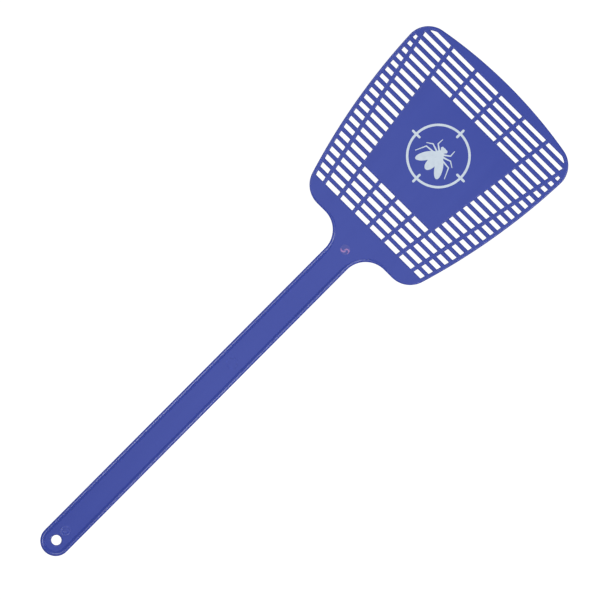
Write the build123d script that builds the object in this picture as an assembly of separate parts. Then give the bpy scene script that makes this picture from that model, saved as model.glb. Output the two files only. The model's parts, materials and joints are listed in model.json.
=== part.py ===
from build123d import *
import os
from math import atan2, cos, radians, sin, sqrt, tan

# A one-piece moulded fly swatter, lying on its flat back with its beads up.
# +Y runs from the hanging hole to the paddle, +X across, +Z up. The origin is the centre of the
# bounding box on the underside. The moulding is divided into zones that meet face to face.
# Millimetres and degrees.

INCH = 25.4

# Overall
LENGTH = 406.0
PLATE = 2.0                       # thickness of the handle's web and of the paddle

# Handle
HANDLE_WIDTH = 0.75 * INCH
HANG_HOLE_DIAMETER = 0.25 * INCH
HANG_HOLE_FROM_END = 10.0
HANG_EYE_LENGTH = HANDLE_WIDTH

# Raised bead along the edge of the handle and neck
BEAD_RISE = 1.0                   # above the plate
BEAD_WIDTH = 3.6
BEAD_CREST_RADIUS = 1.25          # the crest is this far in from the edge
BEAD_RUNOUT = 6.6                 # where the bead fades out along the paddle's lower edge

# Paddle outline: tangent arcs, the same on both sides
PADDLE_HEIGHT = 134.9
NECK_FILLET_RADIUS = 16.2
LOWER_CORNER_X = 32.6
LOWER_CORNER_RADIUS = 16.0
SIDE_RADIUS = 410.3
UPPER_CORNER_X = 49.95
UPPER_CORNER_RADIUS = 15.56
TIP_RADIUS = 12 * INCH

# Grille: rows of slots between ribs that fan out towards the tip
ROWS = 22
FIRST_ROW_FROM_LOWER_EDGE = 13.5  # to the first row's centre line
ROW_PITCH = 5.525
ROW_PITCH_TAPER = 0.0078
SLOT_HEIGHT = 2.95                # in the first row
SLOT_HEIGHT_TAPER = 0.0245        # less in each further row
RIB_WIDTH = 2.55
RIM_WIDTH = 2.55
RIB_PITCH_FIRST_ROW = 12.88
RIB_PITCH_LAST_ROW = 20.62
RIBS_EACH_SIDE = 3                # beside the one in the middle
PANEL_RIB = 2                     # the panel lies between the second ribs each side
PANEL_ROWS = range(5, 17)         # rows that the panel interrupts
OUTER_COLUMN_ROWS = 20            # the slots beside the rims stop short of the upper corners

# Gate mark on the neck
GATE_FROM_LOWER_EDGE = 8.2
GATE_DIAMETER = 6.2
GATE_RISE = 0.15

# Print: a target ring with four ticks, and a fly
INK = 0.08
PRINT_Y = 141.5
RING_RADIUS = 20.0
RING_LINE = 1.5
TICK_LENGTH = 7.0
LEG_LINE = 0.75

# Flexing section of the neck: the two bodies turn about an axis in the middle of the plate
FLEX_Y = 32.0
FLEX_LIMIT = 25.0
FLEX_SLIT = 0.1                   # gap between the bodies on the axis itself
FLEX_RELIEF = 1.0                 # extra degrees of room at the limits

# Derived positions
HALF_WIDTH = HANDLE_WIDTH / 2
TIP_Y = LENGTH / 2
END_Y = -LENGTH / 2
LOWER_EDGE_Y = TIP_Y - PADDLE_HEIGHT
FIRST_ROW_Y = LOWER_EDGE_Y + FIRST_ROW_FROM_LOWER_EDGE
END_CENTRE_Y = END_Y + HALF_WIDTH
HOLE_Y = END_Y + HANG_HOLE_FROM_END
EYE_TOP_Y = END_Y + HANG_EYE_LENGTH
FILLET_X = HALF_WIDTH + NECK_FILLET_RADIUS
FILLET_Y = LOWER_EDGE_Y - NECK_FILLET_RADIUS
GATE_Y = LOWER_EDGE_Y - GATE_FROM_LOWER_EDGE
FAR = LENGTH                      # longer than anything it has to reach past


# ---------------------------------------------------------------- grille spacing

def row_y(row):
    """Centre line of a row of slots."""
    return FIRST_ROW_Y + row * (ROW_PITCH - row * ROW_PITCH_TAPER)


def slot_height(row):
    return SLOT_HEIGHT - row * SLOT_HEIGHT_TAPER


def rib_x(rib, y):
    """Centre line of a rib, counted from the middle one, at height y on the paddle."""
    share = (y - row_y(0)) / (row_y(ROWS - 1) - row_y(0))
    return rib * (RIB_PITCH_FIRST_ROW + share * (RIB_PITCH_LAST_ROW - RIB_PITCH_FIRST_ROW))


# The zones of the paddle meet along the middle of solid bands, half a rib from the nearest slots.
SHOULDER_TOP_Y = row_y(0) - slot_height(0) / 2 - RIB_WIDTH / 2
PANEL_LOW_Y = row_y(PANEL_ROWS[0] - 1) + slot_height(PANEL_ROWS[0] - 1) / 2 + RIB_WIDTH / 2
PANEL_HIGH_Y = row_y(PANEL_ROWS[-1] + 1) - slot_height(PANEL_ROWS[-1] + 1) / 2 - RIB_WIDTH / 2
TIP_BAND_Y = row_y(ROWS - 1) + slot_height(ROWS - 1) / 2 + RIB_WIDTH / 2


# ---------------------------------------------------------------- plane shapes

def polygon(*points):
    """A flat face with straight sides."""
    return make_face(Polyline(*points, close=True))


def band(low_y, high_y):
    """Everything between two heights."""
    return polygon((-FAR, low_y), (FAR, low_y), (FAR, high_y), (-FAR, high_y))


def between_panel_ribs(low_y, high_y):
    """Everything between two heights and between the middles of the panel's two ribs."""
    low_x = rib_x(PANEL_RIB, low_y)
    high_x = rib_x(PANEL_RIB, high_y)
    return polygon((-low_x, low_y), (low_x, low_y), (high_x, high_y), (-high_x, high_y))


def right_of_panel_rib(low_y, high_y):
    """Everything between two heights and right of the middle of the panel's right rib."""
    low_x = rib_x(PANEL_RIB, low_y)
    high_x = rib_x(PANEL_RIB, high_y)
    return polygon((low_x, low_y), (FAR, low_y), (FAR, high_y), (high_x, high_y))


def arc(centre, start, end):
    """The shorter arc about centre from start to end."""
    radius = (start - centre).length
    middle = centre + ((start - centre) + (end - centre)).normalized() * radius
    return ThreePointArc(start, middle, end)


def centre_at(a, from_a, b, from_b):
    """The point left of the line from a to b, at the given distances from a and from b."""
    ahead = (b - a).normalized()
    left = Vector(-ahead.Y, ahead.X)
    gap = (b - a).length
    along = (from_a ** 2 - from_b ** 2 + gap ** 2) / (2 * gap)
    return a + ahead * along + left * sqrt(from_a ** 2 - along ** 2)


def paddle_face(inset=0.0):
    """The paddle's outline, a chain of tangent arcs, moved inwards by inset."""
    lower = Vector(LOWER_CORNER_X, LOWER_EDGE_Y + LOWER_CORNER_RADIUS)
    tip = Vector(0, TIP_Y - TIP_RADIUS)
    upper_reach = TIP_RADIUS - UPPER_CORNER_RADIUS
    upper = Vector(UPPER_CORNER_X, tip.Y + sqrt(upper_reach ** 2 - UPPER_CORNER_X ** 2))
    side = centre_at(
        lower, SIDE_RADIUS - LOWER_CORNER_RADIUS, upper, SIDE_RADIUS - UPPER_CORNER_RADIUS
    )

    edge_start = Vector(0, LOWER_EDGE_Y + inset)
    edge_end = Vector(LOWER_CORNER_X, LOWER_EDGE_Y + inset)
    side_start = side + (lower - side).normalized() * (SIDE_RADIUS - inset)
    side_end = side + (upper - side).normalized() * (SIDE_RADIUS - inset)
    tip_start = tip + (upper - tip).normalized() * (TIP_RADIUS - inset)
    tip_end = Vector(0, TIP_Y - inset)

    right = Curve() + [
        Line(edge_start, edge_end),
        arc(lower, edge_end, side_start),
        arc(side, side_start, side_end),
        arc(upper, side_end, tip_start),
        arc(tip, tip_start, tip_end),
    ]
    left = mirror(right, about=Plane.YZ)
    return make_face(right.edges() + left.edges())


def slot(row, left_x, right_x):
    """One slot. left_x and right_x give the slanted sides' places at any height."""
    low_y = row_y(row) - slot_height(row) / 2
    high_y = row_y(row) + slot_height(row) / 2
    return polygon(
        (left_x(low_y), low_y),
        (right_x(low_y), low_y),
        (right_x(high_y), high_y),
        (left_x(high_y), high_y),
    )


def side_slots():
    """The slots right of the panel's right rib. The rim trims them."""
    cuts = []
    for row in range(ROWS):
        cuts.append(slot(
            row,
            lambda y: rib_x(PANEL_RIB, y) + RIB_WIDTH / 2,
            lambda y: rib_x(RIBS_EACH_SIDE, y) - RIB_WIDTH / 2,
        ))
    for row in range(OUTER_COLUMN_ROWS):
        cuts.append(slot(
            row,
            lambda y: rib_x(RIBS_EACH_SIDE, y) + RIB_WIDTH / 2,
            lambda y: FAR,
        ))
    return cuts


def middle_slots(rows):
    """The slots of some rows, between the panel's two ribs."""
    cuts = []
    for row in rows:
        for rib in range(-PANEL_RIB, PANEL_RIB):
            cuts.append(slot(
                row,
                lambda y, n=rib: rib_x(n, y) + RIB_WIDTH / 2,
                lambda y, n=rib: rib_x(n + 1, y) - RIB_WIDTH / 2,
            ))
    return cuts


# ---------------------------------------------------------------- solids

def plate(face):
    """A zone of the moulding with the plate's full thickness."""
    return extrude(face, amount=PLATE, dir=(0, 0, 1))


def on_left(shape):
    return mirror(shape, about=Plane.YZ)


def bead_section():
    """The bead's section above the plate: x is the distance in from the edge, y the height.
    A round crest near the edge runs into a straight slope down to the web."""
    crest = Vector(BEAD_CREST_RADIUS, PLATE + BEAD_RISE - BEAD_CREST_RADIUS)
    foot = Vector(BEAD_WIDTH, PLATE)
    to_foot = foot - crest
    slope_angle = atan2(to_foot.Y, to_foot.X) + acos_ratio(BEAD_CREST_RADIUS, to_foot.length)
    slope_start = crest + Vector(cos(slope_angle), sin(slope_angle)) * BEAD_CREST_RADIUS
    drop = PLATE - crest.Y
    outer = Vector(crest.X - sqrt(BEAD_CREST_RADIUS ** 2 - drop ** 2), PLATE)
    top = crest + Vector(0, BEAD_CREST_RADIUS)
    return make_face([
        ThreePointArc(outer, top, slope_start).edge(),
        Line(slope_start, foot).edge(),
        Line(foot, outer).edge(),
    ])


def acos_ratio(near, far):
    """The angle, in radians, whose cosine is near over far."""
    return atan2(sqrt(far ** 2 - near ** 2), near)


def bead_section_at(x, y, turn=0.0):
    """The bead's section standing upright with its edge at x, y. Unturned, it reaches towards +X."""
    return Location((x, y, 0), (0, 0, turn)) * (Plane.XZ * bead_section())


def straight_bead(low_y, high_y):
    """A bead along the left edge of the handle."""
    return extrude(bead_section_at(-HALF_WIDTH, low_y), amount=high_y - low_y, dir=(0, 1, 0))


def flex_relief():
    """What is taken from both bodies so that they can turn about the flex axis: a thin slit on
    the axis, opening above and below by half of the travel on each side."""
    axis_z = PLATE / 2
    slit = FLEX_SLIT / 2
    reach = PLATE + BEAD_RISE
    opening = slit + reach * tan(radians((FLEX_LIMIT + FLEX_RELIEF) / 2))
    section = polygon(
        (-slit, 0),
        (-opening, -reach),
        (opening, -reach),
        (slit, 0),
        (opening, reach),
        (-opening, reach),
    )
    upright = Location((-FAR / 2, FLEX_Y, axis_z)) * (Plane.YZ * section)
    return extrude(upright, amount=FAR, dir=(1, 0, 0))


# ---------------------------------------------------------------- handle body

def hang_eye():
    outline = Pos(0, END_CENTRE_Y) * Circle(HALF_WIDTH) + polygon(
        (-HALF_WIDTH, END_CENTRE_Y),
        (HALF_WIDTH, END_CENTRE_Y),
        (HALF_WIDTH, EYE_TOP_Y),
        (-HALF_WIDTH, EYE_TOP_Y),
    )
    return plate(outline - Pos(0, HOLE_Y) * Circle(HANG_HOLE_DIAMETER / 2))


def handle_web():
    strip = polygon(
        (-HALF_WIDTH, EYE_TOP_Y),
        (HALF_WIDTH, EYE_TOP_Y),
        (HALF_WIDTH, FLEX_Y),
        (-HALF_WIDTH, FLEX_Y),
    )
    return plate(strip) - flex_relief()


def end_bead():
    axis = Axis((0, END_CENTRE_Y, 0), (0, 0, 1))
    return revolve(bead_section_at(-HALF_WIDTH, END_CENTRE_Y), axis, revolution_arc=180)


def handle_bead_left():
    return straight_bead(END_CENTRE_Y, FLEX_Y) - flex_relief()


# ---------------------------------------------------------------- head body

def neck_web():
    strip = polygon(
        (-HALF_WIDTH, FLEX_Y),
        (HALF_WIDTH, FLEX_Y),
        (HALF_WIDTH, FILLET_Y),
        (-HALF_WIDTH, FILLET_Y),
    )
    flare = polygon(
        (-FILLET_X, FILLET_Y),
        (FILLET_X, FILLET_Y),
        (FILLET_X, LOWER_EDGE_Y),
        (-FILLET_X, LOWER_EDGE_Y),
    )
    for side in (-1, 1):
        flare -= Pos(side * FILLET_X, FILLET_Y) * Circle(NECK_FILLET_RADIUS)
    return plate(strip + flare) - flex_relief()


def neck_bead_left():
    """Up the neck's left edge, round the fillet and out along the paddle's lower edge."""
    straight = straight_bead(FLEX_Y, FILLET_Y)
    axis = Axis((-FILLET_X, FILLET_Y, 0), (0, 0, 1))
    bend = revolve(bead_section_at(-HALF_WIDTH, FILLET_Y), axis, revolution_arc=90)
    end_section = bead_section_at(-FILLET_X, LOWER_EDGE_Y, turn=90)
    runout = extrude(end_section, amount=BEAD_RUNOUT, dir=(-1, 0, 0))
    crest_z = PLATE + BEAD_RISE
    over_slope = polygon(
        (-FILLET_X, crest_z),
        (-FILLET_X - BEAD_RUNOUT, PLATE),
        (-FILLET_X - BEAD_RUNOUT, crest_z),
    )
    upright = Location((0, FAR / 2, 0)) * (Plane.XZ * over_slope)
    runout -= extrude(upright, amount=FAR, dir=(0, -1, 0))
    return (straight + bend + runout) - flex_relief()


def shoulder():
    return plate(paddle_face() & band(LOWER_EDGE_Y, SHOULDER_TOP_Y))


def rim_right():
    ring = paddle_face() - paddle_face(RIM_WIDTH)
    return plate(ring & right_of_panel_rib(SHOULDER_TOP_Y, TIP_BAND_Y))


def side_grille_right():
    face = paddle_face(RIM_WIDTH) & right_of_panel_rib(SHOULDER_TOP_Y, TIP_BAND_Y)
    return plate(face - side_slots())


def lower_grille():
    rows = range(PANEL_ROWS[0])
    return plate(between_panel_ribs(SHOULDER_TOP_Y, PANEL_LOW_Y) - middle_slots(rows))


def upper_grille():
    rows = range(PANEL_ROWS[-1] + 1, ROWS)
    return plate(between_panel_ribs(PANEL_HIGH_Y, TIP_BAND_Y) - middle_slots(rows))


def imprint_panel():
    return plate(between_panel_ribs(PANEL_LOW_Y, PANEL_HIGH_Y))


def tip_band():
    return plate(paddle_face() & band(TIP_BAND_Y, FAR))


def gate_vestige():
    return Pos(0, GATE_Y, PLATE + GATE_RISE / 2) * Cylinder(GATE_DIAMETER / 2, GATE_RISE)


# ---------------------------------------------------------------- print

def ink(face):
    """A film of ink on the panel, around the print's centre."""
    return Pos(0, PRINT_Y, PLATE) * extrude(face, amount=INK, dir=(0, 0, 1))


def print_ring():
    face = Circle(RING_RADIUS) - Circle(RING_RADIUS - RING_LINE)
    for quarter in range(4):
        tick = Pos(0, RING_RADIUS - RING_LINE / 2) * Rectangle(RING_LINE, TICK_LENGTH)
        face += Rot(0, 0, 90 * quarter) * tick
    return ink(face)


def leg(*joints):
    """One bent leg of the fly."""
    return trace(Polyline(*joints), line_width=LEG_LINE)


def print_fly():
    """A fly seen from above, its head towards the tip."""
    body = Pos(0, -6.0) * Ellipse(2.9, 5.4)
    body += Pos(0, 0.9) * Ellipse(2.8, 3.0)
    body += Pos(0, 4.7) * Ellipse(2.1, 1.5)
    right = Pos(1.5, 5.1) * Circle(1.0)
    right += Pos(5.3, -5.0) * Rot(0, 0, 33) * Ellipse(2.6, 7.2)
    right += leg((1.8, 2.6), (5.4, 5.2), (5.2, 9.0))
    right += leg((2.2, 1.2), (7.6, 3.0), (11.0, 0.8))
    right += leg((2.2, -0.2), (9.6, -0.8), (12.6, -7.4))
    return ink(body + right + on_left(right))


# ---------------------------------------------------------------- files

NODES = {
    "hang_eye": hang_eye(),
    "handle_web": handle_web(),
    "end_bead": end_bead(),
    "handle_bead_left": handle_bead_left(),
    "handle_bead_right": on_left(handle_bead_left()),
    "neck_web": neck_web(),
    "neck_bead_left": neck_bead_left(),
    "neck_bead_right": on_left(neck_bead_left()),
    "shoulder": shoulder(),
    "rim_left": on_left(rim_right()),
    "rim_right": rim_right(),
    "side_grille_left": on_left(side_grille_right()),
    "side_grille_right": side_grille_right(),
    "lower_grille": lower_grille(),
    "upper_grille": upper_grille(),
    "imprint_panel": imprint_panel(),
    "tip_band": tip_band(),
    "gate_vestige": gate_vestige(),
    "print_ring": print_ring(),
    "print_fly": print_fly(),
}

os.makedirs("parts", exist_ok=True)
for name, shape in NODES.items():
    shape.label = name
    export_step(shape, os.path.join("parts", name + ".step"))
    print(f"{name}: {shape.volume:.1f} mm3")
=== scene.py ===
import json
import math

import bmesh
import bpy
import numpy as np
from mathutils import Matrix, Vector
from mathutils.geometry import delaunay_2d_cdt


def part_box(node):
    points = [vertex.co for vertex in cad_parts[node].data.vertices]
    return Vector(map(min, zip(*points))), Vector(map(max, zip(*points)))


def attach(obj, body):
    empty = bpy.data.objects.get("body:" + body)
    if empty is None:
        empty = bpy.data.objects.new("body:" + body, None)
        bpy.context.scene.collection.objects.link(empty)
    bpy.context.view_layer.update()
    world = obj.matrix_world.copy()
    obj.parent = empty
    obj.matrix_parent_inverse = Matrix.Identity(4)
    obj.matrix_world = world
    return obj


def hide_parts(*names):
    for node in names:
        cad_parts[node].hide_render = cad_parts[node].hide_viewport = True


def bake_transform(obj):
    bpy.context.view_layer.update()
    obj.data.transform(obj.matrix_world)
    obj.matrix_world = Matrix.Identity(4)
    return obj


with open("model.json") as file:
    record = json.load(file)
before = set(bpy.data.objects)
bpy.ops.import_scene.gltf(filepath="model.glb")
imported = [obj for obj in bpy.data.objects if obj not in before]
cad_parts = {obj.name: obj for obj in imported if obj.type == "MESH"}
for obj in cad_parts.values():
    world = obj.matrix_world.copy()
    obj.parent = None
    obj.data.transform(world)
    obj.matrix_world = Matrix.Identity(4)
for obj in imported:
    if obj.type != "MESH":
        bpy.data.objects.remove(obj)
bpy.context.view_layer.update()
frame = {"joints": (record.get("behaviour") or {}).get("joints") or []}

# The looks of a one-piece moulded fly swatter. The whole moulding is built here as one closed
# shell with rounded edges, then cut into zones where solid bands allow it, so that each zone is
# a closed piece of its own and the cuts don't show. Lengths are in millimetres until a mesh is made.

MM = 0.001
INCH = 25.4

# ---------------------------------------------------------------- driving sizes

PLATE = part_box("imprint_panel")[1].z / MM
END_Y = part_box("hang_eye")[0].y / MM
EYE_TOP_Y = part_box("hang_eye")[1].y / MM
TIP_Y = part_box("tip_band")[1].y / MM
LOWER_EDGE_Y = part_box("shoulder")[0].y / MM
SHOULDER_TOP_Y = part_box("shoulder")[1].y / MM
PANEL_LOW_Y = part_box("imprint_panel")[0].y / MM
PANEL_HIGH_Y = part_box("imprint_panel")[1].y / MM
TIP_BAND_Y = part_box("tip_band")[0].y / MM

HALF_WIDTH = 0.75 * INCH / 2
HANG_HOLE_RADIUS = 0.25 * INCH / 2
HANG_HOLE_Y = END_Y + 10.0

# Witness marks of the mould: a raised ring and a fainter one on the handle, pins on the back.
CAVITY_MARK_Y = HANG_HOLE_Y + 8.2
CAVITY_MARK_RADIUS = 2.8
CAVITY_BAR_HEIGHT = 0.03
FAINT_MARK_Y = HANG_HOLE_Y + 154.1
FAINT_MARK_RADIUS = 3.2
PIN_RADIUS = 2.4
PIN_HEIGHTS_ON_HANDLE = (-170, -120, -70, -20, 45)
PIN_INSET_IN_PANEL = 8
PIN_X_IN_PANEL = 22
PIN_X_IN_SHOULDER = 30

BEAD_RISE = 1.0
BEAD_CREST_INSET = 1.2           # from the outline in to the crest
BEAD_CREST_RADIUS = 0.75
BEAD_INNER_TILT = 31.0           # degrees
FLATTENED_RISE = 0.15            # under this rise the inner slope flattens out
FLAT_FOOT = 0.37                 # from the crest to the foot, where there is no slope
FOOT_MARGIN = 0.25
LOW_BEAD = 0.35                  # share of the rise that follows the fillet most of the way

# Where the bead changes along the outline: the old form ends, and the new one begins.
HIGH_BEAD_SINKS = (-4.0, 8.0)    # counted from the start of the neck's fillet
LOW_BEAD_SINKS = (-18.0, -5.0)   # counted from the paddle's lower corner
EDGE_NARROWS = (-4.0, 16.0)      # counted from the same corner

NECK_FILLET_RADIUS = 16.2
LOWER_CORNER_X = 32.6
LOWER_CORNER_RADIUS = 16.0
SIDE_RADIUS = 410.3
UPPER_CORNER_X = 49.95
UPPER_CORNER_RADIUS = 15.56
TIP_RADIUS = 12 * INCH

ROWS = 22
FIRST_ROW_FROM_LOWER_EDGE = 13.5
ROW_PITCH = 5.525
ROW_PITCH_TAPER = 0.0078
SLOT_HEIGHT = 2.95
SLOT_HEIGHT_TAPER = 0.0245
RIB_WIDTH = 2.55
RIM_WIDTH = 2.55
RIB_PITCH_FIRST_ROW = 12.88
RIB_PITCH_LAST_ROW = 20.62
RIBS_EACH_SIDE = 3
PANEL_RIB = 2
PANEL_ROWS = range(5, 17)
OUTER_COLUMN_ROWS = 20

EDGE_TILT = 40.0                 # degrees. A short slope breaks every edge on the front
EDGE_WIDTH = 0.65                # of the slope, with its rounding
EDGE_TOP_ROUND = 0.3
BACK_ROUND = 0.3                 # on the edges of the back
SLOT_CORNER = 0.25               # in the slots' corners, seen from above
FLAT_MARGIN = 0.2                # a flat band next to each rounded edge, which keeps it crisp

FILLET_X = HALF_WIDTH + NECK_FILLET_RADIUS
FILLET_Y = LOWER_EDGE_Y - NECK_FILLET_RADIUS
END_CENTRE_Y = END_Y + HALF_WIDTH

# The moulding bends between these heights, evenly about the flex axis.
FLEX_JOINT = frame["joints"][0]
FLEX_Y = FLEX_JOINT["pos_m"][1] / MM
FLEX_REACH = 22.0
NECK_CUT_Y = FLEX_Y + FLEX_REACH + 1.0      # past the bend, the edges still nearly upright


# ---------------------------------------------------------------- outline

def centre_at(a, from_a, b, from_b):
    """The point left of the line from a to b, at the given distances from a and from b."""
    ahead = (b - a).normalized()
    left = Vector((-ahead.y, ahead.x))
    gap = (b - a).length
    along = (from_a ** 2 - from_b ** 2 + gap ** 2) / (2 * gap)
    return a + ahead * along + left * math.sqrt(from_a ** 2 - along ** 2)


def arc_stations(centre, radius, start, end, steps, hollow=False):
    """Points on an arc from start to end degrees, without the last, each with the direction
    into the material: towards the centre, or away from it on a hollow corner."""
    found = []
    for i in range(steps):
        angle = math.radians(start + (end - start) * i / steps)
        out = Vector((math.cos(angle), math.sin(angle)))
        found.append((centre + out * radius, out if hollow else -out))
    return found


def line_stations(start, end, steps, inward):
    """Points on a straight edge, without the last."""
    return [(start.lerp(end, i / steps), inward) for i in range(steps)]


def direction_degrees(start, end):
    return math.degrees(math.atan2(end.y - start.y, end.x - start.x))


def flipped(loop):
    """A loop mirrored to the other side, still anticlockwise."""
    return [Vector((-p.x, p.y)) for p in reversed(loop)]


def right_outline():
    """Stations along the right half of the outline, from the handle's end to the tip, in three
    lists: the handle, the neck, and the paddle from its lower corner on."""
    end = Vector((0, END_CENTRE_Y))
    fillet = Vector((FILLET_X, FILLET_Y))
    lower = Vector((LOWER_CORNER_X, LOWER_EDGE_Y + LOWER_CORNER_RADIUS))
    tip = Vector((0, TIP_Y - TIP_RADIUS))
    upper_reach = TIP_RADIUS - UPPER_CORNER_RADIUS
    upper = Vector((UPPER_CORNER_X, tip.y + math.sqrt(upper_reach ** 2 - UPPER_CORNER_X ** 2)))
    side = centre_at(
        lower, SIDE_RADIUS - LOWER_CORNER_RADIUS, upper, SIDE_RADIUS - UPPER_CORNER_RADIUS
    )
    low_turn = direction_degrees(side, lower)
    high_turn = direction_degrees(side, upper)
    tip_turn = direction_degrees(tip, upper)
    left = Vector((-1, 0))
    up = Vector((0, 1))

    handle = arc_stations(end, HALF_WIDTH, -90, 0, 18)
    handle += line_stations(
        Vector((HALF_WIDTH, END_CENTRE_Y)), Vector((HALF_WIDTH, FILLET_Y)), 96, left
    )
    neck = arc_stations(fillet, NECK_FILLET_RADIUS, 180, 90, 24, hollow=True)
    neck += line_stations(
        Vector((FILLET_X, LOWER_EDGE_Y)), Vector((LOWER_CORNER_X, LOWER_EDGE_Y)), 6, up
    )
    paddle = arc_stations(lower, LOWER_CORNER_RADIUS, -90, low_turn, 16)
    paddle += arc_stations(side, SIDE_RADIUS, low_turn, high_turn, 30)
    paddle += arc_stations(upper, UPPER_CORNER_RADIUS, high_turn, tip_turn, 18)
    paddle += arc_stations(tip, TIP_RADIUS, tip_turn, 90, 20)
    paddle.append((Vector((0, TIP_Y)), -up))
    return handle, neck, paddle


def mirrored(station):
    """The same place on the left half."""
    point, inward = station
    return Vector((-point.x, point.y)), Vector((-inward.x, inward.y))


def smooth_share(value, none_at, all_at):
    """0 at none_at, 1 at all_at, level beyond both, and smooth between them."""
    share = min(1.0, max(0.0, (value - none_at) / (all_at - none_at)))
    return share * share * (3 - 2 * share)


def edge_shapes(stations, fillet_index, corner_index):
    """The bead's rise, and how much wider the edge is than a plain one, at each station. The
    bead sinks to a low one where the neck widens, and runs out before the paddle's corner."""
    distances = [0.0]
    for (a, _), (b, _) in zip(stations, stations[1:]):
        distances.append(distances[-1] + (b - a).length)
    fillet, corner = distances[fillet_index], distances[corner_index]
    shapes = []
    for distance in distances:
        high = smooth_share(distance, fillet + HIGH_BEAD_SINKS[1], fillet + HIGH_BEAD_SINKS[0])
        low = smooth_share(distance, corner + LOW_BEAD_SINKS[1], corner + LOW_BEAD_SINKS[0])
        wide = smooth_share(distance, corner + EDGE_NARROWS[1], corner + EDGE_NARROWS[0])
        shapes.append((BEAD_RISE * (LOW_BEAD * low + (1 - LOW_BEAD) * high), wide))
    return shapes


# ---------------------------------------------------------------- edge sections

EDGE_POINTS = 7       # of a section's points, those that go all round the outline
FOOT_POINT = -2       # of a section's points, the one at the bead's foot


def outer_slope(crest, radius, crest_z):
    """Distances in from the wall, and heights, up a slope to the top of a round crest. The
    wall's own top is rounded a little, which the first two points do."""
    tilt = math.radians(EDGE_TILT)
    touch = crest - radius * math.sin(tilt)
    touch_z = crest_z + radius * math.cos(tilt)
    edge = 0.1 * crest
    edge_z = touch_z - (touch - edge) * math.tan(tilt)
    half = tilt / 2
    return [
        (0, edge_z - 0.14), (0.3 * edge, edge_z - 0.05), (edge, edge_z), (touch, touch_z),
        (crest - radius * math.sin(half), crest_z + radius * math.cos(half)),
        (crest, crest_z + radius),
    ]


def plain_edge():
    """The broken edge of a flat face, with a flat margin next to it."""
    section = outer_slope(EDGE_WIDTH, EDGE_TOP_ROUND, PLATE - EDGE_TOP_ROUND)
    return section + [(EDGE_WIDTH + FLAT_MARGIN, PLATE)]


def back_edge():
    """The rounded edge of the back, with a flat margin next to it."""
    section = []
    for turn in (0, 30, 60, 90):
        angle = math.radians(turn)
        section.append((BACK_ROUND * (1 - math.cos(angle)), BACK_ROUND * (1 - math.sin(angle))))
    return section + [(BACK_ROUND + FLAT_MARGIN, 0)]


def edge_section(rise, wide):
    """Distances in from the outline and heights. A bead has an outer slope, a round crest, an
    inner slope and a crisp foot. With no rise and no extra width it is a plain edge, and the
    points beyond it lie flat."""
    radius = EDGE_TOP_ROUND + (BEAD_CREST_RADIUS - EDGE_TOP_ROUND) * wide
    crest = EDGE_WIDTH + (BEAD_CREST_INSET - EDGE_WIDTH) * wide
    crest_z = PLATE + rise - radius
    inner = math.radians(BEAD_INNER_TILT) * min(1.0, rise / FLATTENED_RISE)
    section = outer_slope(crest, radius, crest_z)

    # The inner slope, down to its foot.
    inner_touch = crest + radius * math.sin(inner)
    inner_fall = crest_z + radius * math.cos(inner) - PLATE
    foot = inner_touch + (inner_fall / math.tan(inner) if inner > 0 else FLAT_FOOT)

    def height(inset):
        if inset <= inner_touch:
            return crest_z + math.sqrt(radius ** 2 - (inset - crest) ** 2)
        return PLATE + max(0.0, foot - inset) * math.tan(inner)

    start = max(crest + FLAT_MARGIN, inner_touch)
    span = foot - start
    for inset in (start, start + min(0.06, 0.3 * span), start + 0.5 * span):
        section.append((inset, height(inset)))
    section.append((foot, PLATE))
    section.append((foot + FOOT_MARGIN, PLATE))
    return section


# ---------------------------------------------------------------- slots

def row_y(row):
    first = LOWER_EDGE_Y + FIRST_ROW_FROM_LOWER_EDGE
    return first + row * (ROW_PITCH - row * ROW_PITCH_TAPER)


def slot_height(row):
    return SLOT_HEIGHT - row * SLOT_HEIGHT_TAPER


def rib_x(rib, y):
    """Centre line of a rib, counted from the middle one, at height y on the paddle."""
    share = (y - row_y(0)) / (row_y(ROWS - 1) - row_y(0))
    return rib * (RIB_PITCH_FIRST_ROW + share * (RIB_PITCH_LAST_ROW - RIB_PITCH_FIRST_ROW))


def slot(row, left_x, right_x):
    """A slot's corners, anticlockwise."""
    low_y = row_y(row) - slot_height(row) / 2
    high_y = row_y(row) + slot_height(row) / 2
    return [
        Vector((left_x(low_y), low_y)),
        Vector((right_x(low_y), low_y)),
        Vector((right_x(high_y), high_y)),
        Vector((left_x(high_y), high_y)),
    ]


def rib_side(rib, side):
    """The x of a rib's left (-1) or right (+1) side, as a function of height."""
    return lambda y: rib_x(rib, y) + side * RIB_WIDTH / 2


def trimmed(polygon, rim):
    """A convex polygon cut to lie inside the convex loop rim, both anticlockwise."""
    for start, end in zip(rim, rim[1:] + rim[:1]):
        along = end - start
        kept = []
        for a, b in zip(polygon, polygon[1:] + polygon[:1]):
            depth_a = along.cross(a - start)
            depth_b = along.cross(b - start)
            if depth_a >= 0:
                kept.append(a)
            if (depth_a >= 0) != (depth_b >= 0):
                kept.append(a.lerp(b, depth_a / (depth_a - depth_b)))
        polygon = kept
    return polygon


def without_short_sides(polygon, shortest=0.08):
    kept = []
    for point in polygon:
        if all((point - other).length > shortest for other in kept):
            kept.append(point)
    return kept


def slot_outlines(rim):
    """Every slot's corners. rim is the inner edge of the paddle's rim."""
    found = []
    far = UPPER_CORNER_X * 2
    for row in range(ROWS):
        outer = slot(row, rib_side(PANEL_RIB, 1), rib_side(RIBS_EACH_SIDE, -1))
        sides = [outer]
        if row < OUTER_COLUMN_ROWS:
            sides.append(slot(row, rib_side(RIBS_EACH_SIDE, 1), lambda y: far))
        for corners in sides:
            right = without_short_sides(trimmed(corners, rim))
            found.append(right)
            found.append(flipped(right))
        if row not in PANEL_ROWS:
            for rib in range(-PANEL_RIB, PANEL_RIB):
                found.append(slot(row, rib_side(rib, 1), rib_side(rib + 1, -1)))
    return found


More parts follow.
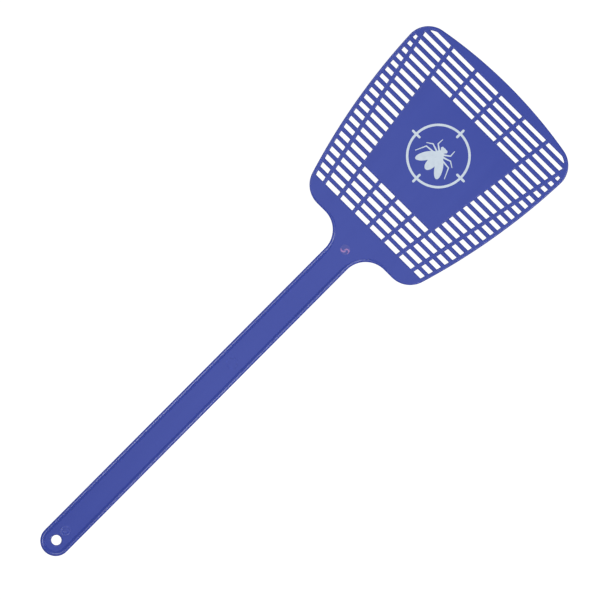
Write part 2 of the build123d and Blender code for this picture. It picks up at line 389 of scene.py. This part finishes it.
def rounded_loop(corners, radius, grow):
    """A convex polygon with its sharp corners rounded, grown outwards by grow. A slight corner
    next to a rounded one is left out, so that the rounding doesn't run into it."""
    slight_turn = math.radians(20)
    loop = []
    for corner, previous, following in zip(
        corners, corners[-1:] + corners, corners[1:] + corners
    ):
        before = (corner - previous).normalized()
        after = (following - corner).normalized()
        out_before = Vector((before.y, -before.x))
        out_after = Vector((after.y, -after.x))
        turn = math.atan2(before.cross(after), before.dot(after))
        middle = (out_before + out_after).normalized()
        if turn < slight_turn:
            if min((corner - previous).length, (following - corner).length) > 1.5 * radius:
                loop.append(corner + middle * grow)
            continue
        centre = corner - middle * (radius / math.cos(turn / 2))
        steps = max(3, round(math.degrees(turn) / 25))
        start = math.atan2(out_before.y, out_before.x)
        for step in range(steps + 1):
            angle = start + turn * step / steps
            loop.append(centre + Vector((math.cos(angle), math.sin(angle))) * (radius + grow))
    return loop


def circle(x, y, radius, steps=48):
    turns = [2 * math.pi * i / steps for i in range(steps)]
    return [Vector((x + radius * math.cos(t), y + radius * math.sin(t))) for t in turns]


def bar(start, end, width_start, width_end):
    """A straight stroke that tapers, with round ends."""
    start, end = Vector(start), Vector(end)
    turn = math.atan2(end.y - start.y, end.x - start.x)
    outline = []
    for centre, width, first in ((end, width_end, -90), (start, width_start, 90)):
        for step in range(9):
            angle = turn + math.radians(first + step * 22.5)
            outline.append(centre + Vector((math.cos(angle), math.sin(angle))) * (width / 2))
    return outline


# ---------------------------------------------------------------- filling flat regions

def inside(points, polygon):
    """Which of the points, rows of x and y, lie inside a polygon."""
    x, y = points[:, 0], points[:, 1]
    found = np.zeros(len(points), bool)
    loop = np.array([(p.x, p.y) for p in polygon])
    low, high = loop.min(0), loop.max(0)
    near = (x > low[0]) & (x < high[0]) & (y > low[1]) & (y < high[1])
    if not near.any():
        return found
    x, y = x[near], y[near]
    crossings = np.zeros(len(x), bool)
    for (x0, y0), (x1, y1) in zip(loop, np.roll(loop, -1, axis=0)):
        if y0 != y1:
            spans = (y0 > y) != (y1 > y)
            crossings ^= spans & (x < (x1 - x0) * (y - y0) / (y1 - y0) + x0)
    found[near] = crossings
    return found


def triangulated(loops, solid, holes, extra=()):
    """Triangles over a flat region whose edges are the loops. A triangle is kept if it lies in
    one of the solid polygons and in none of the holes. extra are points within the region.
    Returns the points, the triangles, and each point's place in the loops, laid end to end."""
    points, edges = [], []
    for loop in loops:
        first = len(points)
        points += [Vector((p.x, p.y)) for p in loop]
        edges += [(first + i, first + (i + 1) % len(loop)) for i in range(len(loop))]
    points += [Vector(p) for p in extra]
    found, _, triangles, origins, _, _ = delaunay_2d_cdt(points, edges, [], 0, 1e-7)
    at = np.array([(p.x, p.y) for p in found])
    centres = at[np.array(triangles)].mean(axis=1)
    keep = np.zeros(len(triangles), bool)
    for polygon in solid:
        keep |= inside(centres, polygon)
    for polygon in holes:
        keep &= ~inside(centres, polygon)
    return found, [t for t, k in zip(triangles, keep) if k], [o[0] if o else None for o in origins]


# ---------------------------------------------------------------- the moulding as one shell

class Shell:
    """The points and faces of a closed surface, as they are added."""

    def __init__(self):
        self.points = []
        self.faces = []
        self.creases = []         # pairs of points on an edge that isn't smoothed

    def ring(self, loop, heights):
        """Adds points over a loop, at one height or at a list of them. Returns their numbers."""
        if not isinstance(heights, list):
            heights = [heights] * len(loop)
        first = len(self.points)
        self.points += [(p.x, p.y, z) for p, z in zip(loop, heights)]
        return list(range(first, len(self.points)))

    def strip(self, ring_a, ring_b, closed=True):
        """Joins two rings of the same length with quads."""
        count = len(ring_a)
        for i in range(count if closed else count - 1):
            j = (i + 1) % count
            self.faces.append((ring_a[i], ring_a[j], ring_b[j], ring_b[i]))

    def fill(self, rings, solid, holes, height, extra=()):
        """Fills the flat region between rings, with extra points at the same height."""
        flat = [n for ring in rings for n in ring]
        loops = [[self.plan(n) for n in ring] for ring in rings]
        found, triangles, origins = triangulated(loops, solid, holes, extra)
        numbers = []
        for point, origin in zip(found, origins):
            if origin is not None and origin < len(flat):
                numbers.append(flat[origin])
            else:
                numbers.append(len(self.points))
                self.points.append((point.x, point.y, height))
        self.faces += [tuple(numbers[n] for n in t) for t in triangles]

    def plan(self, number):
        return Vector(self.points[number][:2])


def hole_wall(shell, loop_at):
    """The wall of a hole through the plate, with its edges. loop_at(grow) gives the hole's
    outline grown by that much. Returns the outermost rings in the front and back faces."""
    walls, outer = [], []
    for section in (plain_edge(), back_edge()):
        rings = [shell.ring(loop_at(grow), height) for grow, height in section]
        for a, b in zip(rings, rings[1:]):
            shell.strip(a, b)
        walls.append(rings[0])
        outer.append(rings[-1])
    shell.strip(walls[0], walls[1])
    return outer


def round_mark(shell, x, y, radius, face_z, profile, bar_height=0):
    """A round witness mark in a flat face, filled inside. It may have a plain raised bar in
    the middle. Returns the outermost ring."""
    rings = [shell.ring(circle(x, y, radius + r), face_z + z) for r, z in profile]
    for a, b in zip(rings, rings[1:]):
        shell.strip(a, b)
    if bar_height:
        bar_rings = []
        for grow, z in ((0.12, 0), (0, bar_height), (-0.1, bar_height)):
            outline = bar((-0.5, -0.5), (0.5, 0.6), 0.5 + 2 * grow, 0.5 + 2 * grow)
            bar_rings.append(shell.ring([p + Vector((x, y)) for p in outline], face_z + z))
        shell.strip(bar_rings[0], bar_rings[1])
        shell.strip(bar_rings[1], bar_rings[2])
        shell.faces.append(tuple(bar_rings[2]))
        loops = [[shell.plan(n) for n in ring] for ring in (rings[-1], bar_rings[0])]
        shell.fill([rings[-1], bar_rings[0]], loops[:1], loops[1:], face_z)
    else:
        shell.faces.append(tuple(rings[-1]))
    return rings[0]


# Profiles of round marks: steps out from the mark's radius and up from the face, outside first.
RAISED_LINE = [(0.55, 0), (0.4, 0), (0.1, 0.06), (-0.1, 0.06), (-0.24, 0), (-0.4, 0)]
FAINT_LINE = [(0.5, 0), (0.34, 0), (0.12, 0.03), (-0.12, 0.03), (-0.34, 0), (-0.5, 0)]
PIN_MARK = [(0.25, 0), (0.05, 0), (-0.05, 0.07), (-0.25, 0.07)]


def witness_marks(shell):
    """The marks on the front and on the back, as two lists of their outermost rings."""
    front = [
        round_mark(
            shell, 0, CAVITY_MARK_Y, CAVITY_MARK_RADIUS, PLATE, RAISED_LINE, CAVITY_BAR_HEIGHT
        ),
        round_mark(shell, 0, FAINT_MARK_Y, FAINT_MARK_RADIUS, PLATE, FAINT_LINE),
    ]
    pins = [(0, y) for y in PIN_HEIGHTS_ON_HANDLE]
    panel_ys = (PANEL_LOW_Y + PIN_INSET_IN_PANEL, PANEL_HIGH_Y - PIN_INSET_IN_PANEL)
    pins += [(x, y) for x in (-PIN_X_IN_PANEL, PIN_X_IN_PANEL) for y in panel_ys]
    shoulder_y = (LOWER_EDGE_Y + SHOULDER_TOP_Y) / 2
    pins += [(x, shoulder_y) for x in (-PIN_X_IN_SHOULDER, PIN_X_IN_SHOULDER)]
    back = [round_mark(shell, x, y, PIN_RADIUS, 0, PIN_MARK) for x, y in pins]
    return front, back


def half_width_at(y, inset):
    """Half of the width at height y on the handle or neck, inset from both edges."""
    if y < FILLET_Y:
        return HALF_WIDTH - inset
    return FILLET_X - math.sqrt((NECK_FILLET_RADIUS + inset) ** 2 - (y - FILLET_Y) ** 2)


def flex_points(inset):
    """Points spread over the flat web where it bends, so that it bends smoothly."""
    found = []
    rows = 36
    low_y, high_y = FLEX_Y - FLEX_REACH, LOWER_EDGE_Y
    for i in range(rows):
        y = low_y + (high_y - low_y) * (i + 0.5) / rows
        for share in (-0.75, -0.38, 0, 0.38, 0.75):
            found.append((share * half_width_at(y, inset), y))
    return found


def build_shell():
    """The whole moulding, as one closed surface."""
    shell = Shell()
    handle, neck, paddle = right_outline()
    right = handle + neck + paddle
    shapes = edge_shapes(right, len(handle), len(handle) + len(neck))
    loop = [mirrored(s) for s in reversed(right)] + right[1:-1]
    sections = [edge_section(*shape) for shape in list(reversed(shapes)) + shapes[1:-1]]

    # The edge on top: rings all round, and more rings along the bead.
    first = len(paddle) - 1
    last = len(loop) - len(paddle) + 1
    rings = []
    for i in range(len(sections[0])):
        places = [p + n * section[i][0] for (p, n), section in zip(loop, sections)]
        heights = [section[i][1] for section in sections]
        if i < EDGE_POINTS:
            rings.append(shell.ring(places, heights))
        else:
            numbers = shell.ring(places[first:last + 1], heights[first:last + 1])
            rings.append([None] * first + numbers + [None] * (len(loop) - last - 1))
    for i in range(1, len(rings)):
        if i < EDGE_POINTS:
            shell.strip(rings[i - 1], rings[i])
        else:
            shell.strip(rings[i - 1][first:last + 1], rings[i][first:last + 1], closed=False)
    foot = rings[FOOT_POINT][first:last + 1]
    shell.creases += list(zip(foot, foot[1:]))
    edge_ring = rings[EDGE_POINTS - 1]
    top = edge_ring[last:] + edge_ring[:first]
    top += [ring[first] for ring in rings[EDGE_POINTS - 1:]]
    top += rings[-1][first + 1:last]
    top += [ring[last] for ring in reversed(rings[EDGE_POINTS:])]

    # The back's edge, and the wall between.
    under = [shell.ring([p + n * inset for p, n in loop], z) for inset, z in back_edge()]
    shell.strip(rings[0], under[0])
    for a, b in zip(under, under[1:]):
        shell.strip(a, b)

    # The slots and the hanging hole.
    top_rings, under_rings = [top], [under[-1]]
    rim = [p + n * RIM_WIDTH for p, n in paddle]
    rim += flipped(rim[:-1])
    hole_loops = [
        lambda grow, c=corners: rounded_loop(c, SLOT_CORNER, grow) for corners in slot_outlines(rim)
    ]
    hole_loops.append(lambda grow: circle(0, HANG_HOLE_Y, HANG_HOLE_RADIUS + grow))
    for loop_at in hole_loops:
        top_ring, under_ring = hole_wall(shell, loop_at)
        top_rings.append(top_ring)
        under_rings.append(under_ring)

    front_marks, back_marks = witness_marks(shell)
    top_rings += front_marks
    under_rings += back_marks
    web_inset = sections[first][-1][0]
    for group, height, inset in ((top_rings, PLATE, web_inset), (under_rings, 0, BACK_ROUND)):
        loops = [[shell.plan(n) for n in ring] for ring in group]
        shell.fill(group, loops[:1], loops[1:], height, flex_points(inset))
    return shell


def as_bmesh(shell):
    """The shell as a Blender mesh in metres, its faces turned outwards."""
    bm = bmesh.new()
    points = [bm.verts.new((x * MM, y * MM, z * MM)) for x, y, z in shell.points]
    for numbers in shell.faces:
        bm.faces.new([points[n] for n in numbers])
    for a, b in shell.creases:
        bm.edges.get((points[a], points[b])).smooth = False
    loose = [v for v in bm.verts if not v.link_faces]
    bmesh.ops.delete(bm, geom=loose, context="VERTS")
    bmesh.ops.recalc_face_normals(bm, faces=bm.faces)
    return bm


# ---------------------------------------------------------------- cutting into zones

def cut(bm, point, outward):
    """Removes what lies beyond a plane, closes the cut and keeps its rim sharp."""
    everything = list(bm.verts) + list(bm.edges) + list(bm.faces)
    done = bmesh.ops.bisect_plane(
        bm, geom=everything, dist=1e-9, plane_co=point, plane_no=outward, clear_outer=True
    )
    rim = [g for g in done["geom_cut"] if isinstance(g, bmesh.types.BMEdge)]
    for edge in rim:
        edge.smooth = False
    bmesh.ops.holes_fill(bm, edges=rim)


def below(y):
    """A cut that keeps what lies below a height."""
    return Vector((0, y * MM, 0)), Vector((0, 1, 0))


def above(y):
    """A cut that keeps what lies above a height."""
    return Vector((0, y * MM, 0)), Vector((0, -1, 0))


def rib_cut(rib, keep):
    """A cut along the middle of a rib, which keeps the side keep: -1 left, 1 right."""
    low = Vector((rib_x(rib, SHOULDER_TOP_Y) * MM, SHOULDER_TOP_Y * MM, 0))
    high = Vector((rib_x(rib, TIP_BAND_Y) * MM, TIP_BAND_Y * MM, 0))
    along = high - low
    return low, Vector((-along.y, along.x, 0)) * keep


SHARP_ANGLE = math.radians(55)


def add_object(name, data):
    made = bpy.data.objects.new(name, data)
    bpy.context.scene.collection.objects.link(made)
    return made


def finished_piece(name, bm):
    """A mesh object, smooth but for its creases and the edges of its cuts."""
    bmesh.ops.recalc_face_normals(bm, faces=bm.faces)
    for face in bm.faces:
        face.smooth = True
    for edge in bm.edges:
        if edge.calc_face_angle(0.0) > SHARP_ANGLE:
            edge.smooth = False
    mesh = bpy.data.meshes.new(name)
    bm.to_mesh(mesh)
    bm.free()
    return add_object(name, mesh)


def zone(whole, name, *cuts):
    """The part of the whole moulding that the cuts leave, as a piece."""
    bm = whole.copy()
    for point, outward in cuts:
        cut(bm, point, outward)
    return finished_piece(name, bm)


# ---------------------------------------------------------------- materials

class Nodes:
    """Short names for building a node material."""

    def __init__(self, name):
        self.material = bpy.data.materials.new(name)
        self.material.use_nodes = True
        self.tree = self.material.node_tree
        self.tree.nodes.clear()
        self.shader = self.add("ShaderNodeBsdfPrincipled")
        output = self.add("ShaderNodeOutputMaterial")
        self.join(self.shader.outputs["BSDF"], output.inputs["Surface"])

    def add(self, kind, **settings):
        node = self.tree.nodes.new(kind)
        for key, value in settings.items():
            if key in node.inputs:
                node.inputs[key].default_value = value
            else:
                setattr(node, key, value)
        return node

    def join(self, output, socket):
        self.tree.links.new(output, socket)

    def place(self, scale=(1, 1, 1)):
        """Coordinates on the object, in metres, stretched by scale."""
        coordinates = self.add("ShaderNodeTexCoord")
        mapping = self.add("ShaderNodeMapping", Scale=scale)
        self.join(coordinates.outputs["Object"], mapping.inputs["Vector"])
        return mapping.outputs["Vector"]

    def noise(self, vector, scale, detail=2.0):
        node = self.add("ShaderNodeTexNoise", Scale=scale, Detail=detail)
        self.join(vector, node.inputs["Vector"])
        return node.outputs["Fac"]

    def ramp(self, value, low, high, colour_low, colour_high):
        """Colours spread over a value's range."""
        node = self.add("ShaderNodeValToRGB")
        node.color_ramp.elements[0].position = low
        node.color_ramp.elements[1].position = high
        node.color_ramp.elements[0].color = (*colour_low, 1)
        node.color_ramp.elements[1].color = (*colour_high, 1)
        self.join(value, node.inputs["Fac"])
        return node.outputs["Color"]

    def span(self, value, low, high):
        """A value from 0 to 1, mapped to between low and high."""
        node = self.add("ShaderNodeMapRange")
        node.inputs["To Min"].default_value = low
        node.inputs["To Max"].default_value = high
        self.join(value, node.inputs["Value"])
        return node.outputs["Result"]

    def bump(self, height, distance, over=None):
        node = self.add("ShaderNodeBump", Distance=distance, Strength=1.0)
        self.join(height, node.inputs["Height"])
        if over is not None:
            self.join(over, node.inputs["Normal"])
        return node.outputs["Normal"]


# Ends of each material's range of colours, as linear red, green and blue.
MOULDING_BLUES = ((0.0382, 0.0606, 0.322), (0.0414, 0.0649, 0.335))
GATE_COLOURS = ((0.046, 0.06, 0.305), (0.34, 0.17, 0.42))
INK_WHITES = ((0.48, 0.555, 0.64), (0.535, 0.61, 0.69))
FLOOR_GREYS = ((0.19, 0.19, 0.19), (0.2, 0.2, 0.2))


def moulding_material():
    """Deep blue polypropylene as it leaves the mould: a satin skin with fine grain, slow
    waves from shrinkage and faint flow streaks along the handle."""
    m = Nodes("moulding_blue")
    everywhere = m.place()
    along = m.place((1.0, 0.12, 1.0))
    flow = m.noise(along, 90.0, 3.0)
    colour = m.ramp(flow, 0.3, 0.7, *MOULDING_BLUES)
    m.join(colour, m.shader.inputs["Base Color"])
    m.join(m.span(m.noise(everywhere, 45.0, 3.0), 0.195, 0.21), m.shader.inputs["Roughness"])
    waves = m.bump(m.noise(everywhere, 28.0, 1.0), 0.00015)
    grain = m.bump(m.noise(everywhere, 2600.0, 2.0), 0.000003, over=waves)
    m.join(grain, m.shader.inputs["Normal"])
    m.shader.inputs["IOR"].default_value = 1.56
    return m.material


def gate_material():
    """The plastic at the gate, strained while it set: unevenly whitened and pinkish on the
    ridges, and a shade duller between them. The colour follows the height."""
    m = Nodes("gate_swirl")
    coordinates = m.add("ShaderNodeTexCoord")
    parts = m.add("ShaderNodeSeparateXYZ")
    m.join(coordinates.outputs["Object"], parts.inputs["Vector"])
    rise = m.add("ShaderNodeMapRange")
    rise.inputs["From Min"].default_value = (PLATE + GATE_PAD) * MM
    rise.inputs["From Max"].default_value = (PLATE + GATE_PAD + GATE_RIDGE) * MM
    m.join(parts.outputs["Z"], rise.inputs["Value"])
    uneven = m.span(m.noise(coordinates.outputs["Object"], 1400.0, 3.0), 0.35, 1.35)
    amount = m.add("ShaderNodeMath", operation="MULTIPLY")
    m.join(rise.outputs["Result"], amount.inputs[0])
    m.join(uneven, amount.inputs[1])
    colour = m.ramp(amount.outputs["Value"], 0.0, 0.9, *GATE_COLOURS)
    m.join(colour, m.shader.inputs["Base Color"])
    m.shader.inputs["Roughness"].default_value = 0.4
    m.shader.inputs["IOR"].default_value = 1.5
    grain = m.bump(m.noise(coordinates.outputs["Object"], 2600.0), 0.00002)
    m.join(grain, m.shader.inputs["Normal"])
    return m.material


def ink_material():
    """Pad-printed white ink: a matt film, a little uneven, with the blue faintly through it."""
    m = Nodes("ink_white")
    place = m.place()
    cover = m.noise(place, 420.0, 4.0)
    colour = m.ramp(cover, 0.25, 0.7, *INK_WHITES)
    m.join(colour, m.shader.inputs["Base Color"])
    m.join(m.span(cover, 0.5, 0.62), m.shader.inputs["Roughness"])
    m.join(m.bump(m.noise(place, 1800.0, 3.0), 0.00003), m.shader.inputs["Normal"])
    return m.material


def floor_material():
    """A grey table that glows nearly white by itself, so that it is even and stays white
    through the slots."""
    m = Nodes("pale_floor")
    tint = m.ramp(m.noise(m.place(), 3.0), 0.2, 0.8, *FLOOR_GREYS)
    m.join(tint, m.shader.inputs["Base Color"])
    m.shader.inputs["Roughness"].default_value = 0.9
    m.shader.inputs["Specular IOR Level"].default_value = 0.0
    m.shader.inputs["Emission Color"].default_value = (1, 1, 1, 1)
    m.shader.inputs["Emission Strength"].default_value = 0.9
    return m.material


# ---------------------------------------------------------------- the moulding's pieces

GATE_Y = (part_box("gate_vestige")[0].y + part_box("gate_vestige")[1].y) / 2 / MM
GATE_RADIUS = (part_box("gate_vestige")[1].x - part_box("gate_vestige")[0].x) / 2 / MM
GATE_PAD = 0.03
GATE_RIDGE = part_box("gate_vestige")[1].z / MM - PLATE - GATE_PAD

whole = as_bmesh(build_shell())
blue = moulding_material()


def place_zone(name, body, nodes, *cuts):
    """One zone of the moulding, on a body, standing for its CAD nodes. With no body it is left
    unattached, where it was built."""
    piece = zone(whole, name, *cuts)
    piece.data.materials.append(blue)
    if body:
        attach(piece, body)
    else:
        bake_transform(piece)
    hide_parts(*nodes)


place_zone("hang_eye_end", "handle", ["hang_eye", "end_bead"], below(EYE_TOP_Y))
shaft_nodes = [part + "_web" for part in ("handle", "neck")]
shaft_nodes += [f"{part}_bead_{side}" for part in ("handle", "neck") for side in ("left", "right")]
place_zone("shaft_and_neck", None, shaft_nodes, above(EYE_TOP_Y), below(NECK_CUT_Y))
place_zone("paddle_shoulder", "head", ["shoulder"], above(NECK_CUT_Y), below(SHOULDER_TOP_Y))
for word, side in (("left", -1), ("right", 1)):
    place_zone(
        "paddle_side_" + word, "head", ["rim_" + word, "side_grille_" + word],
        above(SHOULDER_TOP_Y), below(TIP_BAND_Y), rib_cut(side * PANEL_RIB, side),
    )
middle = (rib_cut(-PANEL_RIB, 1), rib_cut(PANEL_RIB, -1))
place_zone(
    "grille_lower", "head", ["lower_grille"], above(SHOULDER_TOP_Y), below(PANEL_LOW_Y), *middle
)
place_zone(
    "grille_upper", "head", ["upper_grille"], above(PANEL_HIGH_Y), below(TIP_BAND_Y), *middle
)
place_zone(
    "print_panel", "head", ["imprint_panel"], above(PANEL_LOW_Y), below(PANEL_HIGH_Y), *middle
)
place_zone("tip_crescent", "head", ["tip_band"], above(TIP_BAND_Y))


# ---------------------------------------------------------------- gate mark

# Two curved ridges that swirl round each other, as centre, radius, and the angles in degrees
# where the ridge starts and ends. Places are counted from the mark's centre.
GATE_RIDGES = (((-1.0, -0.3), 1.65, 200, 375), ((1.45, -0.3), 1.45, 215, -45))
GATE_RIDGE_WIDTH = 1.3
GATE_PITCH = 0.1      # of the points on the pad
GATE_RIM_STEPS = 72


def ridge_share(x, y):
    """How far up a ridge the surface is at a place in the gate mark, from 0 to 1."""
    best = 0.0
    for (centre_x, centre_y), radius, start, end in GATE_RIDGES:
        away = math.hypot(x - centre_x, y - centre_y) - radius
        low, high = min(start, end), max(start, end)
        turn = math.degrees(math.atan2(y - centre_y, x - centre_x))
        turn = (turn - low) % 360
        along = turn / (high - low)
        if along > 1:
            continue
        width = GATE_RIDGE_WIDTH * math.sin(math.pi * along) ** 0.6
        if width > 0 and abs(away) < width / 2:
            best = max(best, math.cos(math.pi * away / width) * min(1.0, width))
    return best


def gate_mark():
    """A low round pad, where the plastic entered the mould, with the swirl on it."""
    rim = circle(0, 0, GATE_RADIUS, GATE_RIM_STEPS)
    inner_radius = GATE_RADIUS - 2 * GATE_PAD
    inner = circle(0, 0, inner_radius, GATE_RIM_STEPS)
    reach = math.ceil(GATE_RADIUS / GATE_PITCH)
    grid = []
    for row in range(-reach, reach + 1):
        for column in range(-reach, reach + 1):
            x = (column + 0.5 * (row % 2)) * GATE_PITCH
            place = Vector((x, row * GATE_PITCH * math.sqrt(0.75)))
            if place.length < inner_radius - 0.6 * GATE_PITCH:
                grid.append(place)
    found, triangles, _ = triangulated([inner], [inner], [], grid)
    bm = bmesh.new()
    top = []
    for p in found:
        height = PLATE + GATE_PAD + GATE_RIDGE * ridge_share(p.x, p.y)
        top.append(bm.verts.new((p.x * MM, (GATE_Y + p.y) * MM, height * MM)))
    for t in triangles:
        bm.faces.new([top[n] for n in t])
    foot = [bm.verts.new((p.x * MM, (GATE_Y + p.y) * MM, PLATE * MM)) for p in rim]
    for i in range(len(rim)):
        j = (i + 1) % len(rim)
        bm.faces.new((foot[i], foot[j], top[j], top[i]))
    bm.faces.new(list(reversed(foot)))
    piece = finished_piece("gate_mark", bm)
    piece.data.materials.append(gate_material())
    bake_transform(piece)
    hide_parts("gate_vestige")


gate_mark()


# ---------------------------------------------------------------- print

INK = 0.03            # the film's thickness
PRINT_Y = (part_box("print_ring")[0].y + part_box("print_ring")[1].y) / 2 / MM
RING_RADIUS = 20.0
RING_LINE = 1.5
RING_STEPS = 180
RING_SECTORS = 12
TICK_LENGTH = 7.0
LEG_LINE = 0.75


def moved(polygon, x, y, turn=0.0):
    """A polygon turned about the origin by degrees, then moved."""
    c, s = math.cos(math.radians(turn)), math.sin(math.radians(turn))
    return [Vector((x + p.x * c - p.y * s, y + p.x * s + p.y * c)) for p in polygon]


def ellipse(x, y, radius_x, radius_y, turn=0.0, steps=72):
    turns = [2 * math.pi * i / steps for i in range(steps)]
    at_origin = [Vector((radius_x * math.cos(t), radius_y * math.sin(t))) for t in turns]
    return moved(at_origin, x, y, turn)


def both_sides(polygons):
    return polygons + [flipped(polygon) for polygon in polygons]


def ink_piece(name, node, shapes):
    """A film of ink: all the shapes as one, placed about the print's centre."""
    shapes = [moved(shape, 0, PRINT_Y) for shape in shapes]
    found, triangles, _ = triangulated(shapes, shapes, [])
    bm = bmesh.new()
    low = [bm.verts.new((p.x * MM, p.y * MM, PLATE * MM)) for p in found]
    for t in triangles:
        bm.faces.new([low[n] for n in t])
    bmesh.ops.delete(bm, geom=[v for v in bm.verts if not v.link_faces], context="VERTS")
    bmesh.ops.recalc_face_normals(bm, faces=bm.faces)
    grown = bmesh.ops.extrude_face_region(bm, geom=list(bm.faces), use_keep_orig=True)
    for part in grown["geom"]:
        if isinstance(part, bmesh.types.BMVert):
            part.co.z += INK * MM
    piece = finished_piece(name, bm)
    piece.data.materials.append(ink)
    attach(piece, "head")
    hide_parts(node)


def target_ring():
    """A ring, as the sectors of its band, with four ticks across it."""
    outer = circle(0, 0, RING_RADIUS, RING_STEPS)
    inner = circle(0, 0, RING_RADIUS - RING_LINE, RING_STEPS)
    sector = RING_STEPS // RING_SECTORS
    shapes = []
    for first in range(0, RING_STEPS, sector):
        steps = [(first + k) % RING_STEPS for k in range(sector + 1)]
        shapes.append([outer[i] for i in steps] + [inner[i] for i in reversed(steps)])
    middle_radius = RING_RADIUS - RING_LINE / 2
    low = middle_radius - TICK_LENGTH / 2 + RING_LINE / 2
    high = middle_radius + TICK_LENGTH / 2 - RING_LINE / 2
    upright = bar((0, low), (0, high), RING_LINE, RING_LINE)
    return shapes + [moved(upright, 0, 0, 90 * quarter) for quarter in range(4)]


def fly():
    """A plain fly seen from above, its head towards the tip."""
    body = [ellipse(0, -6.0, 2.9, 5.4), ellipse(0, 0.9, 2.8, 3.0), ellipse(0, 4.7, 2.1, 1.5)]
    right = [
        ellipse(1.5, 5.1, 1.0, 1.0),
        ellipse(5.3, -5.0, 2.6, 7.2, 33),
        bar((1.8, 2.6), (5.4, 5.2), LEG_LINE * 1.5, LEG_LINE),
        bar((5.4, 5.2), (5.2, 9.0), LEG_LINE, LEG_LINE * 0.6),
        bar((2.2, 1.2), (7.6, 3.0), LEG_LINE * 1.5, LEG_LINE),
        bar((7.6, 3.0), (11.0, 0.8), LEG_LINE, LEG_LINE * 0.6),
        bar((2.2, -0.2), (9.6, -0.8), LEG_LINE * 1.5, LEG_LINE),
        bar((9.6, -0.8), (12.6, -7.4), LEG_LINE, LEG_LINE * 0.6),
    ]
    return body + both_sides(right)


ink = ink_material()
ink_piece("ring_print", "print_ring", target_ring())
ink_piece("fly_print", "print_fly", fly())


# ---------------------------------------------------------------- stage

FLOOR_Z = -0.085      # in metres, below the paddle's tip when the neck bends down
FLOOR_REACH = 6.0     # in metres, each way from the middle


def make_floor():
    corners = [(x * FLOOR_REACH, y * FLOOR_REACH, FLOOR_Z)
               for x, y in ((-1, -1), (1, -1), (1, 1), (-1, 1))]
    mesh = bpy.data.meshes.new("floor")
    mesh.from_pydata(corners, [], [(0, 1, 2, 3)])
    mesh.materials.append(floor_material())
    add_object("floor", mesh)


def make_light(name, place, aim, width, height, watts):
    """A soft rectangular light at place, facing aim."""
    data = bpy.data.lights.new(name, "AREA")
    data.shape = "RECTANGLE"
    data.size, data.size_y = width, height
    data.energy = watts
    light = add_object(name, data)
    light.location = place
    light.rotation_mode = "QUATERNION"
    light.rotation_quaternion = (Vector(aim) - Vector(place)).to_track_quat("-Z", "Y")


# A row of softboxes runs along each side of the handle, a metre from it, and this far over from
# straight above it.
ROW_TILT = math.radians(29)
ROW_WIDTH = 0.42
# The boxes of a row adjoin. For each stretch: the place of its middle along Y, its length, and
# the watts of the left box and the right one. A dimmer stretch leaves the bead duller beside it.
ROW_BOXES = {
    "far": (-0.58, 0.68, 0.9, 1.0),
    "low": (-0.145, 0.19, 1.25, 2.2),
    "mid": (0.0, 0.1, 0.27, 0.3),
    "high": (0.305, 0.51, 3.4, 4.4),
}


def make_lights():
    """Two rows of softboxes, a small box beyond the handle's end, and a dim panel overhead. The
    bead's crest mirrors the boxes, flat faces mirror the panel, and the slopes mirror neither."""
    for word, (middle_y, length, left_watts, right_watts) in ROW_BOXES.items():
        middle = Vector((0, middle_y, 0))
        for side, sign, watts in (("left", -1, left_watts), ("right", 1, right_watts)):
            away = Vector((sign * math.sin(ROW_TILT), 0, math.cos(ROW_TILT)))
            make_light(f"strip_{side}_{word}", middle + away, middle, length, ROW_WIDTH, watts)
    end = Vector((0, END_CENTRE_Y * MM, 0))
    make_light("box_end", end + Vector((0, -0.31, 0.95)), end, 0.3, 0.14, 0.4)
    under_panel = Vector((-0.1, -0.02, 0))
    make_light("overhead", under_panel + Vector((0, 0, 1.8)), under_panel, 0.65, 0.61, 0.57)


def make_world():
    world = bpy.data.worlds.new("studio")
    world.use_nodes = True
    background = world.node_tree.nodes["Background"]
    background.inputs["Color"].default_value = (1, 1, 1, 1)
    background.inputs["Strength"].default_value = 0.08
    bpy.context.scene.world = world


def make_camera():
    """Looks straight down from far above. The handle runs up to the right on a diagonal."""
    seen_width = 0.3704
    height = 2.2
    turn = 44.85
    centre = Vector((0.00213, 0.01824, 0))
    data = bpy.data.cameras.new("camera")
    data.sensor_width = 36.0
    data.lens = data.sensor_width * (height - PLATE * MM) / seen_width
    data.clip_start, data.clip_end = 0.1, 20.0
    camera = add_object("camera", data)
    camera.location = centre + Vector((0, 0, height))
    camera.rotation_mode = "XYZ"
    camera.rotation_euler = (0, 0, math.radians(turn))
    bpy.context.scene.camera = camera


make_floor()
make_world()
make_lights()
make_camera()
bpy.context.scene.view_settings.view_transform = "Standard"
